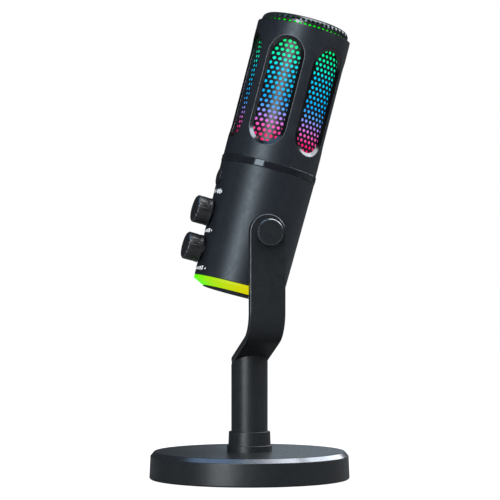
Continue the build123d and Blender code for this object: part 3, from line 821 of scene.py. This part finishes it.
def build_lower_shell():
    bottom, top = LOWER_BOTTOM_RADIUS, LOWER_TOP_RADIUS
    shell = soften([
        (bottom - LOWER_WALL, LOWER_BOTTOM), (bottom, LOWER_BOTTOM + 0.05, 0.25),
        (top, BAND_BOTTOM - 0.1, 0.2), (top - LOWER_WALL, BAND_BOTTOM),
    ])
    body = loose_piece("lower_shell_body", *lathe(shell, 256), MICROPHONE)
    start, end = 15, 30          # through the wall, for a clean cut
    cutters = []
    for height, radius in ((UPPER_KNOB_Z, SHAFT_HOLE), (LOWER_KNOB_Z, SHAFT_HOLE), (BUTTON_Z, BUTTON_HOLE)):
        hole, hole_faces = rod(radius, start, end)
        cutters.append((to_front(hole, height), hole_faces, MICROPHONE))
    hole, hole_faces = rod(PIVOT_HOLE, start, end)
    cutters.append((along_x(hole), hole_faces, MICROPHONE))
    carve(body, cutters)
    declare(body, "microphone", "shell_black", SHELL, ["lower_shell"], sharp=32)


def build_band():
    """The band between the shells, with a spigot up and down into them."""
    inside, foot, foot_radius = 20.9, 27.5, 21.7
    head, head_radius = 37.4, UPPER_BORE - 0.1
    band = soften([
        (inside, foot), (foot_radius, foot), (foot_radius, BAND_BOTTOM), (BAND_RADIUS, BAND_BOTTOM, 0.25),
        (BAND_RADIUS, BAND_TOP, 0.3), (head_radius, BAND_TOP), (head_radius, head), (inside, head),
    ])
    turned_piece("middle_band_body", band, 256, "microphone", "band_gloss", BAND, ["middle_band"])


# ---- perforated pieces
HEXAGON = [(0.5, 0), (0.5, 1 / 3), (0.25, 0.5), (0, 2 / 3), (-0.25, 0.5), (-0.5, 1 / 3),
           (-0.5, 0), (-0.5, -1 / 3), (-0.25, -0.5), (0, -2 / 3), (0.25, -0.5), (0.5, -1 / 3)]


def hole_angle(u):
    """The angle of a hole column: evenly spaced as seen square on from each of the four sides."""
    per_side = HOLE_COLUMNS // 4
    side = (u + per_side / 2) // per_side
    across = u - per_side * side
    return side * pi / 2 + asin(sin(pi / 4) * across / (per_side / 2))


def hole_pitch(radius):
    return radius * sin(pi / 4) / (HOLE_COLUMNS / 8)


def perforated_band(columns, rows, hole, pitch, place, below, above, shift):
    """A closed band of staggered round holes. place(u, v, inside) gives a point: u counts columns, v rows.
    below and above are the row values of the plain strips at each edge, from the holes outwards.
    shift is 1 if the first row stands half a column along, and 0 if the second does."""
    verts = []
    index = {}
    faces = []

    def vertex(u, v, inside):
        key = (round(u % columns, 4) % columns, round(v, 4), inside)
        if key not in index:
            index[key] = len(verts)
            verts.append(place(u, v, inside))
        return index[key]

    for row in range(rows):
        for column in range(columns):
            centre = column + 0.5 * ((row + shift) % 2)
            rims = {0: [], 1: []}
            cells = {0: [], 1: []}
            for du, dv in HEXAGON:
                reach = hypot(du * pitch[0], dv * pitch[1])
                hu, hv = du * hole / reach, dv * hole / reach
                for inside in (0, 1):
                    rims[inside].append(vertex(centre + hu, row + hv, inside))
                    cells[inside].append(vertex(centre + du, row + dv, inside))
            for k in range(len(HEXAGON)):
                faces.append([cells[0][k - 1], cells[0][k], rims[0][k], rims[0][k - 1]])
                faces.append([cells[1][k], cells[1][k - 1], rims[1][k - 1], rims[1][k]])
                faces.append([rims[0][k - 1], rims[0][k], rims[1][k], rims[1][k - 1]])
    for row, sign, strips in ((0, -1, below), (rows - 1, 1, above)):
        offset = 0.5 * ((row + shift) % 2)
        teeth = (2 / 3, 1 / 2, 1 / 3, 1 / 2)
        zigzag = [(offset + k / 4, row + sign * teeth[k % 4]) for k in range(columns * 4)]
        for k in range(len(zigzag)):
            (u0, v0), (u1, v1) = zigzag[k - 1], zigzag[k]
            for inside in (0, 1):
                lines = [(v0, v1)] + [(v, v) for v in strips]
                for (a0, a1), (b0, b1) in zip(lines, lines[1:]):
                    faces.append([vertex(u0, a0, inside), vertex(u1, a1, inside),
                                  vertex(u1, b1, inside), vertex(u0, b0, inside)])
            end = strips[-1]
            faces.append([vertex(u0, end, 0), vertex(u1, end, 0), vertex(u1, end, 1), vertex(u0, end, 1)])
    return verts, faces


def build_mesh_tube():
    pitch = (hole_pitch(MESH_RADIUS), MESH_ROW_PITCH)

    def place(u, v, inside):
        angle = hole_angle(u)
        radius = MESH_RADIUS - MESH_WALL * inside
        return radius * cos(angle), radius * sin(angle), MESH_FIRST_ROW + v * MESH_ROW_PITCH

    below = [-1.2, (MESH_BOTTOM - MESH_FIRST_ROW) / MESH_ROW_PITCH]
    above = [MESH_ROWS + 0.2, (MESH_TOP - MESH_FIRST_ROW) / MESH_ROW_PITCH]
    verts, faces = perforated_band(HOLE_COLUMNS, MESH_ROWS, MESH_HOLE, pitch, place, below, above, 0)
    make_piece("window_mesh", verts, faces, "microphone", "mesh_black", MESH_PAINT, ["mesh_tube"],
               sharp=40, even=False)


def build_top_grille():
    """A perforated cap: rows of holes round its shoulder and a field of holes over its flat top."""
    shoulder = GRILLE_TOP - GRILLE_CORNER
    corner_length = GRILLE_CORNER * pi / 2
    pitch = (hole_pitch(GRILLE_RADIUS - 1), GRILLE_ROW_PITCH)

    def profile(length, inside):
        """(radius, height) at a length up the wall from the shell's rim."""
        deep = GRILLE_WALL * inside
        if length <= shoulder - SHELL_TOP:
            return GRILLE_RADIUS - deep, SHELL_TOP + length
        turned = length - (shoulder - SHELL_TOP)
        if turned <= corner_length:
            angle = turned / GRILLE_CORNER
            reach = GRILLE_CORNER - deep
            return GRILLE_RADIUS - GRILLE_CORNER + reach * cos(angle), shoulder + reach * sin(angle)
        return GRILLE_RADIUS - GRILLE_CORNER - (turned - corner_length), GRILLE_TOP - deep

    def place(u, v, inside):
        angle = hole_angle(u)
        radius, height = profile(GRILLE_FIRST_ROW + v * GRILLE_ROW_PITCH, inside)
        return radius * cos(angle), radius * sin(angle), height

    flat_length = shoulder - SHELL_TOP + corner_length + GRILLE_RADIUS - GRILLE_CORNER - GRILLE_FIELD_RADIUS
    below = [-0.9, (GRILLE_SKIRT - SHELL_TOP - GRILLE_FIRST_ROW) / GRILLE_ROW_PITCH]
    above = [(flat_length - GRILLE_FIRST_ROW) / GRILLE_ROW_PITCH]
    verts, faces = perforated_band(HOLE_COLUMNS, GRILLE_ROWS, GRILLE_HOLE, pitch, place, below, above, 1)
    rim_angles = [hole_angle(k / 4) for k in range(HOLE_COLUMNS * 4)]
    flat_verts, flat_faces = perforated_disc(GRILLE_FIELD_RADIUS, rim_angles, GRILLE_HOLE)
    at_field = {i for i, (x, y, z) in enumerate(verts) if abs(hypot(x, y) - GRILLE_FIELD_RADIUS) < 1e-4}
    faces = [f for f in faces if not at_field.issuperset(f)]
    faces += [[len(verts) + i for i in f] for f in flat_faces]
    verts += flat_verts
    make_piece("top_grille_body", verts, faces, "microphone", "mesh_black", GRILLE_METAL,
               ["top_grille"], sharp=40, even=False)


def perforated_disc(radius, rim_angles, hole):
    """The grille's flat top, with a field of staggered round holes and no wall at its rim."""
    round_points = 16
    plain_edge = 1.3
    loops = [[(radius * cos(a), radius * sin(a)) for a in rim_angles]]
    reach = ceil(radius / GRILLE_FIELD_PITCH) + 1
    for row in range(-reach, reach + 1):
        for column in range(-reach, reach + 1):
            x = (column + 0.5 * (row % 2)) * GRILLE_FIELD_PITCH
            y = row * GRILLE_FIELD_PITCH * sqrt(3) / 2
            if hypot(x, y) < radius - plain_edge:
                loops.append(circle_outline(x, y, hole, round_points))
    work = bmesh.new()
    edges = []
    for loop in loops:
        ring = [work.verts.new((x, y, GRILLE_TOP)) for x, y in loop]
        edges += [work.edges.new((ring[k - 1], ring[k])) for k in range(len(ring))]
    bmesh.ops.triangle_fill(work, use_beauty=True, use_dissolve=False, edges=edges, normal=(0, 0, 1))
    work.verts.index_update()
    flat = [tuple(v.co) for v in work.verts]
    verts = flat + [(x, y, z - GRILLE_WALL) for x, y, z in flat]
    faces = []
    for face in work.faces:
        corners = [v.index for v in face.verts]
        faces.append(corners)
        faces.append([len(flat) + c for c in reversed(corners)])
    work.free()
    begin = len(rim_angles)
    while begin < len(flat):
        for k in range(round_points):
            a, b = begin + (k - 1) % round_points, begin + k
            faces.append([a, b, b + len(flat), a + len(flat)])
        begin += round_points
    return verts, faces


# ---- controls
def knob_mesh():
    """A knob turned about z: flared skirt, narrow straight grooves, small chamfer and a dished face."""
    per_groove = 20
    groove_half = 2.5
    segments = KNOB_GROOVES * per_groove
    outside, back, face = KNOB_RADIUS, KNOB_BACK, KNOB_FACE
    waist = back + 2.6
    shoulder = face - KNOB_CHAMFER
    face_edge = outside - KNOB_CHAMFER
    bore_radius, bore_end = 3.0, 29.8
    profile = [                  # (radius, z, how deep the grooves are there)
        (bore_radius, bore_end, 0), (bore_radius, back, 0), (outside - 0.15, back, 0),
        (outside + 0.1, back + 0.2, 0), (outside + 0.04, back + 0.9, 0), (outside - 0.08, back + 1.9, 0),
        (outside - 0.1, waist - 0.15, 0), (outside - 0.05, waist, 0.4), (outside, waist + 0.35, 1),
        (outside, shoulder - 0.1, 1), (outside - 0.05, shoulder, 0.8), (face_edge, face - 0.08, 0),
        (face_edge - 0.12, face, 0), (outside - 1.0, face, 0), (outside - 1.15, face - 0.08, 0),
        (0, face - 0.2, 0),
    ]
    verts = []
    rings = []
    for radius, z, grooved in profile:
        if radius == 0:
            rings.append([len(verts)] * segments)
            verts.append((0, 0, z))
            continue
        rings.append(list(range(len(verts), len(verts) + segments)))
        for k in range(segments):
            from_middle = abs(k % per_groove - per_groove / 2)
            dip = (1 + cos(pi * from_middle / groove_half)) / 2 if from_middle < groove_half else 0
            r = radius - KNOB_GROOVE_DEPTH * grooved * dip
            angle = 2 * pi * k / segments
            verts.append((r * cos(angle), r * sin(angle), z))
    faces = []
    for low, high in zip(rings, rings[1:]):
        for k in range(segments):
            corners = [low[k - 1], low[k], high[k], high[k - 1]]
            faces.append([c for j, c in enumerate(corners) if c != corners[j - 1]])
    faces.append(list(reversed(rings[0])))
    return verts, faces


def build_knobs():
    verts, faces = knob_mesh()
    for name, height in (("upper_knob", UPPER_KNOB_Z), ("lower_knob", LOWER_KNOB_Z)):
        knob = make_piece(name + "_body", to_front(verts, height), faces, name + "_body", "knob_black",
                          KNOB, [name], sharp=60, even=False)

        def on_chamfer(middle, normal):
            from_axis = hypot(middle.x, middle.z - height)
            return -middle.y > KNOB_FACE - KNOB_CHAMFER and from_axis > KNOB_RADIUS - KNOB_CHAMFER - 0.02

        # The chamfer round the knob's face gets the lighter edge material: a painted highlight.
        another_material(knob, MICROPHONE, EDGE, on_chamfer)


def build_button():
    flange_face, flange_back, foot_radius, foot = 20.1, 18.9, 1.6, 18.6
    key = soften([
        (0, BUTTON_FACE - 0.15), (2.7, BUTTON_FACE - 0.12, 0.6), (3.1, BUTTON_FACE, 0.3),
        (BUTTON_RADIUS, BUTTON_FACE - 0.1, 0.3), (BUTTON_RADIUS, flange_face),
        (BUTTON_FLANGE_RADIUS, flange_face), (BUTTON_FLANGE_RADIUS, flange_back),
        (foot_radius, flange_back), (foot_radius, foot), (0, foot),
    ])
    verts, faces = lathe(key, 96)
    make_piece("mode_button_key", to_front(verts, BUTTON_Z), faces, "mode_button_body", "button_black",
               BUTTON, ["mode_button"])
    bezel_back = BEZEL_FACE - 3.2
    bezel = soften([
        (BEZEL_BORE, bezel_back), (BEZEL_RADIUS, bezel_back), (BEZEL_RADIUS, BEZEL_FACE, 0.22),
        (BEZEL_BORE, BEZEL_FACE, 0.18),
    ])
    verts, faces = lathe(bezel, 96)
    make_piece("button_bezel_ring", to_front(verts, BUTTON_Z), faces, "microphone", "band_gloss",
               BAND, ["button_bezel"])


# ---- printed marks
def mark_solid(outline, centre_z):
    """A thin patch of ink on the lower shell, from an outline of (arc length, height) about its centre."""
    verts = []
    for lift in (-INK_IN, INK_OUT):
        for arc, z in outline:
            height = centre_z + z
            radius = lower_shell_radius(height) + lift
            angle = arc / radius - pi / 2
            verts.append((radius * cos(angle), radius * sin(angle), height))
    return verts, prism(len(outline))


def bar_outline(x0, x1, z0, z1):
    return [(x0, z0), (x1, z0), (x1, z1), (x0, z1)]


def rising_bars(count, start, pitch, width, first, rise):
    """A row of bars on one line, each taller than the one before."""
    foot = -1.0
    return [bar_outline(start + pitch * k, start + pitch * k + width, foot, foot + first + rise * k)
            for k in range(count)]


def build_marks():
    """Plain pictograms in place of labels: a lamp between sound bars, and two rising rows of bars."""
    dot_points = 14
    lamp = [circle_outline(0, 0, 0.6, dot_points)]
    rays = 8
    for k in range(rays):
        turn = 2 * pi * k / rays
        lamp.append([(x * cos(turn) - z * sin(turn), x * sin(turn) + z * cos(turn))
                     for x, z in bar_outline(0.85, 1.3, -0.14, 0.14)])
    for k, tall in enumerate((0.7, 1.2, 0.9, 1.25, 0.6)):
        x = 2.3 + 1.2 * k
        lamp += [bar_outline(x, x + 0.8, -tall, tall), bar_outline(-x - 0.8, -x, -tall, tall)]
    level = rising_bars(6, start=-5.2, pitch=1.8, width=1.4, first=0.5, rise=0.3)
    level += [circle_outline(x, 0, 0.5, dot_points) for x in (-6.7, 6.7)]
    gain = rising_bars(8, start=-6.9, pitch=1.8, width=1.2, first=0.55, rise=0.22)
    gain += [circle_outline(x, 0, 0.5, dot_points) for x in (-9.0, 9.0)]
    marks = {"lamp": (LAMP_MARK_Z, lamp), "level": (LEVEL_MARK_Z, level), "gain": (GAIN_MARK_Z, gain)}
    for name, (centre, outlines) in marks.items():
        verts = []
        faces = []
        for outline in outlines:
            more, more_faces = mark_solid(outline, centre)
            faces += [[i + len(verts) for i in f] for f in more_faces]
            verts += more
        make_piece(name + "_mark", verts, faces, "microphone", "diffuser", MARK, even=False)


# ---- bottom
CAP_INSIDE = CAP_BOTTOM + CAP_THICKNESS
CAP_SCREW_SEAT = CAP_INSIDE + 0.3
CUT_MARGIN = 10.0            # how far below the plate its cuts start


def usb_way(low, high):
    """A slot with round ends, as a solid."""
    points = 24
    outline = []
    for k in range(points):
        angle = 2 * pi * (k + 0.5) / points
        side = USB_HOLE_HALF_STRAIGHT if cos(angle) > 0 else -USB_HOLE_HALF_STRAIGHT
        outline.append((side + USB_HOLE_END * cos(angle), USB_HOLE_Y + USB_HOLE_END * sin(angle)))
    verts = [(x, y, z) for z in (low, high) for x, y in outline]
    return verts, prism(points)


def build_light_ring():
    top, top_radius = LOWER_BOTTOM - 0.15, LOWER_BOTTOM_RADIUS - 0.05
    top_bore, foot_bore = 20.5, CAP_RIM_RADIUS + 0.1
    ring = soften([
        (top_bore, top), (top_radius, top, 0.12), (top_radius, LIGHT_RING_SHOULDER, 0.5),
        (CAP_RADIUS + 0.1, LIGHT_RING_BOTTOM, 0.15), (foot_bore, LIGHT_RING_BOTTOM),
        (foot_bore, LIGHT_RING_BOTTOM + 1.5), (16.9, LIGHT_RING_BOTTOM + 1.5), (top_bore, -28.1),
    ])
    turned_piece("bottom_light_ring_body", ring, 192, "microphone", "light_ring", LIGHT_RING,
                 ["bottom_light_ring"])


def build_bottom_cap():
    """The plate with its sockets and screw holes, and the two posts that the screws pull against."""
    ledge, rim_top, rim_bore = LIGHT_RING_BOTTOM - 0.03, CAP_INSIDE + 2.0, CAP_RIM_RADIUS - CAP_RIM_WALL
    cap = soften([
        (0, CAP_BOTTOM), (CAP_RADIUS, CAP_BOTTOM, 0.2), (CAP_RADIUS, ledge, 0.05), (CAP_RIM_RADIUS, ledge),
        (CAP_RIM_RADIUS, rim_top, 0.2), (rim_bore, rim_top, 0.2), (rim_bore, CAP_INSIDE), (0, CAP_INSIDE),
    ])
    body = loose_piece("bottom_cap_plate", *lathe(cap, 160), MICROPHONE)
    low, high = CAP_BOTTOM - CUT_MARGIN, CAP_INSIDE + 0.4
    cutters = [(*usb_way(low, high), MICROPHONE)]
    screws = ((-CAP_SCREW_X, 0, CAP_SCREW_HOLE), (CAP_SCREW_X, 0, CAP_SCREW_HOLE))
    for x, y, radius in (*screws, (0, HEADPHONE_HOLE_Y, HEADPHONE_HOLE)):
        hole, hole_faces = rod(radius, low, high)
        cutters.append((moved(hole, x, y), hole_faces, MICROPHONE))
    carve(body, cutters)
    # The cap takes the darker matt material: painted shade on the underside.
    declare(body, "microphone", "shell_black", CAP, ["bottom_cap"])
    bore, spigot, outside, top = 1.3, 2.5, 3.2, -27.0
    for side, x in (("left", -CAP_SCREW_X), ("right", CAP_SCREW_X)):
        post = soften([
            (bore, CAP_SCREW_SEAT), (spigot, CAP_SCREW_SEAT), (spigot, CAP_INSIDE), (outside, CAP_INSIDE),
            (outside, top, 0.2), (bore, top, 0.2),
        ])
        verts, faces = lathe(post, 48)
        make_piece("cap_post_" + side, moved(verts, x), faces, "microphone", "shell_black", SHELL)


# ---- CAD nodes that stay
NODE_MATERIALS = {
    "base_weight": STEEL, "weight_screws": STEEL, "stem_bolt": STEEL, "stem_washer": STEEL,
    "stem_bottom_insert": BRASS, "stem_top_insert": BRASS, "pivot_bush": NYLON, "wind_foam": FOAM,
    "diffuser_tube": DIFFUSER, "light_strips": BOARD, "light_chips": CHIP_LIGHT, "capsule": GOLD,
    "capsule_cradle": RUBBER, "capsule_bracket": FRAME_PLASTIC, "bottom_light_board": BOARD,
    "bottom_light_chips": CHIP_LIGHT, "cap_screws": BLACK_STEEL, "chassis": FRAME_PLASTIC,
    "main_board": BOARD, "board_standoffs": BRASS, "board_screws": STEEL, "board_chips": CHIP,
    "upper_encoder": STEEL, "lower_encoder": STEEL, "upper_shaft": STEEL, "lower_shaft": STEEL,
    "button_switch": CHIP, "socket_board": BOARD, "headphone_jack": CHIP, "usb_socket": STEEL,
    "ribbon_cable": RIBBON, "pivot_nut_plate": STEEL, "pivot_spacer": BAND, "pivot_screw": BLACK_STEEL,
}


def finish_nodes():
    for name, material in NODE_MATERIALS.items():
        node = frame["nodes"][name]
        node.data.materials.clear()
        node.data.materials.append(material)
        node.data.shade_smooth()
        node.data.set_sharp_from_angle(angle=radians(30))


# ---- stage
MIDDLE_HEIGHT = 0.13         # of the object, in metres
COOL = (0.95, 0.98, 1.0)
FLOOR_SIZE = 6.0
FLOOR_GAP = 0.0002           # under the feet


def aimed(name, data, place, target):
    """A light or camera at a place, looking at a target."""
    made = bpy.data.objects.new(name, data)
    bpy.context.scene.collection.objects.link(made)
    made.location = place
    made.rotation_mode = "QUATERNION"
    made.rotation_quaternion = (target - place).to_track_quat("-Z", "Y")
    return made


def softbox(name, azimuth, elevation, distance, width, height, power, colour=(1, 1, 1), tilt=0):
    """A rectangular light aimed at the middle of the object, turned about its own aim by the tilt."""
    data = bpy.data.lights.new(name, "AREA")
    data.shape = "RECTANGLE"
    data.size = width
    data.size_y = height
    data.energy = power
    data.color = colour
    a, e = radians(azimuth), radians(elevation)
    target = Vector((0, 0, MIDDLE_HEIGHT))
    place = target + distance * Vector((sin(a) * cos(e), -cos(a) * cos(e), sin(e)))
    light = aimed(name, data, place, target)
    light.rotation_quaternion = light.rotation_quaternion @ Quaternion((0, 0, 1), radians(tilt))
    light.visible_camera = False


def build_lights():
    """Each with its azimuth, elevation, distance, width, height and power, in degrees, metres and watts."""
    softbox("key_softbox", 47, 6, 1.0, 0.36, 1.2, 12.8, COOL, tilt=-28)
    softbox("overhead_softbox", 170, 66, 1.1, 0.7, 0.6, 7.0)
    softbox("back_softbox", 200, 31, 1.2, 0.3, 1.2, 6.8, COOL, tilt=50)
    softbox("window_softbox", 160, 29, 1.2, 1.0, 0.35, 6.0)
    softbox("high_softbox", 80, 50, 1.2, 0.35, 0.7, 5.2, (0.85, 0.93, 1.0))
    softbox("rim_softbox", 249, 8, 1.4, 0.35, 0.9, 0.7, (0.72, 0.85, 1.0))
    softbox("left_strip", -15, 0, 1.2, 0.4, 0.9, 0.35)
    softbox("left_sky", -10, 65, 1.2, 0.8, 0.8, 2.4, (0.4, 0.66, 1.0))


def build_world():
    """White where the camera sees it, and dim for the light it gives."""
    world = bpy.data.worlds.new("studio")
    bpy.context.scene.world = world
    world.use_nodes = True
    tree = world.node_tree
    tree.nodes.clear()
    path = tree.nodes.new("ShaderNodeLightPath")
    sources = [path.outputs["Is Camera Ray"]]
    for colour, strength in (((0.82, 0.9, 1.0, 1), 0.045), ((1, 1, 1, 1), 1.0)):
        background = tree.nodes.new("ShaderNodeBackground")
        background.inputs["Color"].default_value = colour
        background.inputs["Strength"].default_value = strength
        sources.append(background.outputs[0])
    mix = tree.nodes.new("ShaderNodeMixShader")
    for source, socket in zip(sources, mix.inputs):
        tree.links.new(source, socket)
    out = tree.nodes.new("ShaderNodeOutputWorld")
    tree.links.new(mix.outputs[0], out.inputs["Surface"])


def build_floor():
    """A grey floor that is white where the camera sees it."""
    mesh = bpy.data.meshes.new("floor")
    corners = [(x * FLOOR_SIZE, y * FLOOR_SIZE, 0) for x, y in ((-1, -1), (1, -1), (1, 1), (-1, 1))]
    mesh.from_pydata(corners, [], [(0, 1, 2, 3)])
    floor = bpy.data.objects.new("floor", mesh)
    bpy.context.scene.collection.objects.link(floor)
    floor.location.z = -FLOOR_GAP
    n = Nodes("pale_floor")
    n.surface(Base_Color=(0.16, 0.16, 0.16, 1), Roughness=0.9, Emission_Color=(1, 1, 1, 1))
    path = n.add("ShaderNodeLightPath")
    n.surface(Emission_Strength=n.spread(path.outputs["Is Camera Ray"], 0.0, 1.0))
    floor.data.materials.append(n.material)


def build_camera():
    data = bpy.data.cameras.new("camera")
    data.sensor_width = CAMERA_SENSOR
    data.lens = CAMERA_SENSOR * CAMERA_DISTANCE / CAMERA_VIEW_WIDTH
    data.clip_start = 0.05
    data.clip_end = 50
    azimuth = radians(CAMERA_AZIMUTH)
    place = Vector((sin(azimuth) * CAMERA_DISTANCE, -cos(azimuth) * CAMERA_DISTANCE, CAMERA_HEIGHT)) * MM
    target = Vector((0, 0, CAMERA_HEIGHT * MM))
    camera = aimed("camera", data, place, target)
    data.shift_x = 0.001
    bpy.context.scene.camera = camera
    bpy.context.scene.view_settings.view_transform = "Standard"


build_base()
build_foot_pad()
build_collar()
build_stem()
build_arm()
build_arm_screw()
build_pivot_cap()
build_upper_shell()
build_lower_shell()
build_band()
build_mesh_tube()
build_top_grille()
build_knobs()
build_button()
build_marks()
build_light_ring()
build_bottom_cap()
finish_nodes()
build_lights()
build_world()
build_floor()
build_camera()
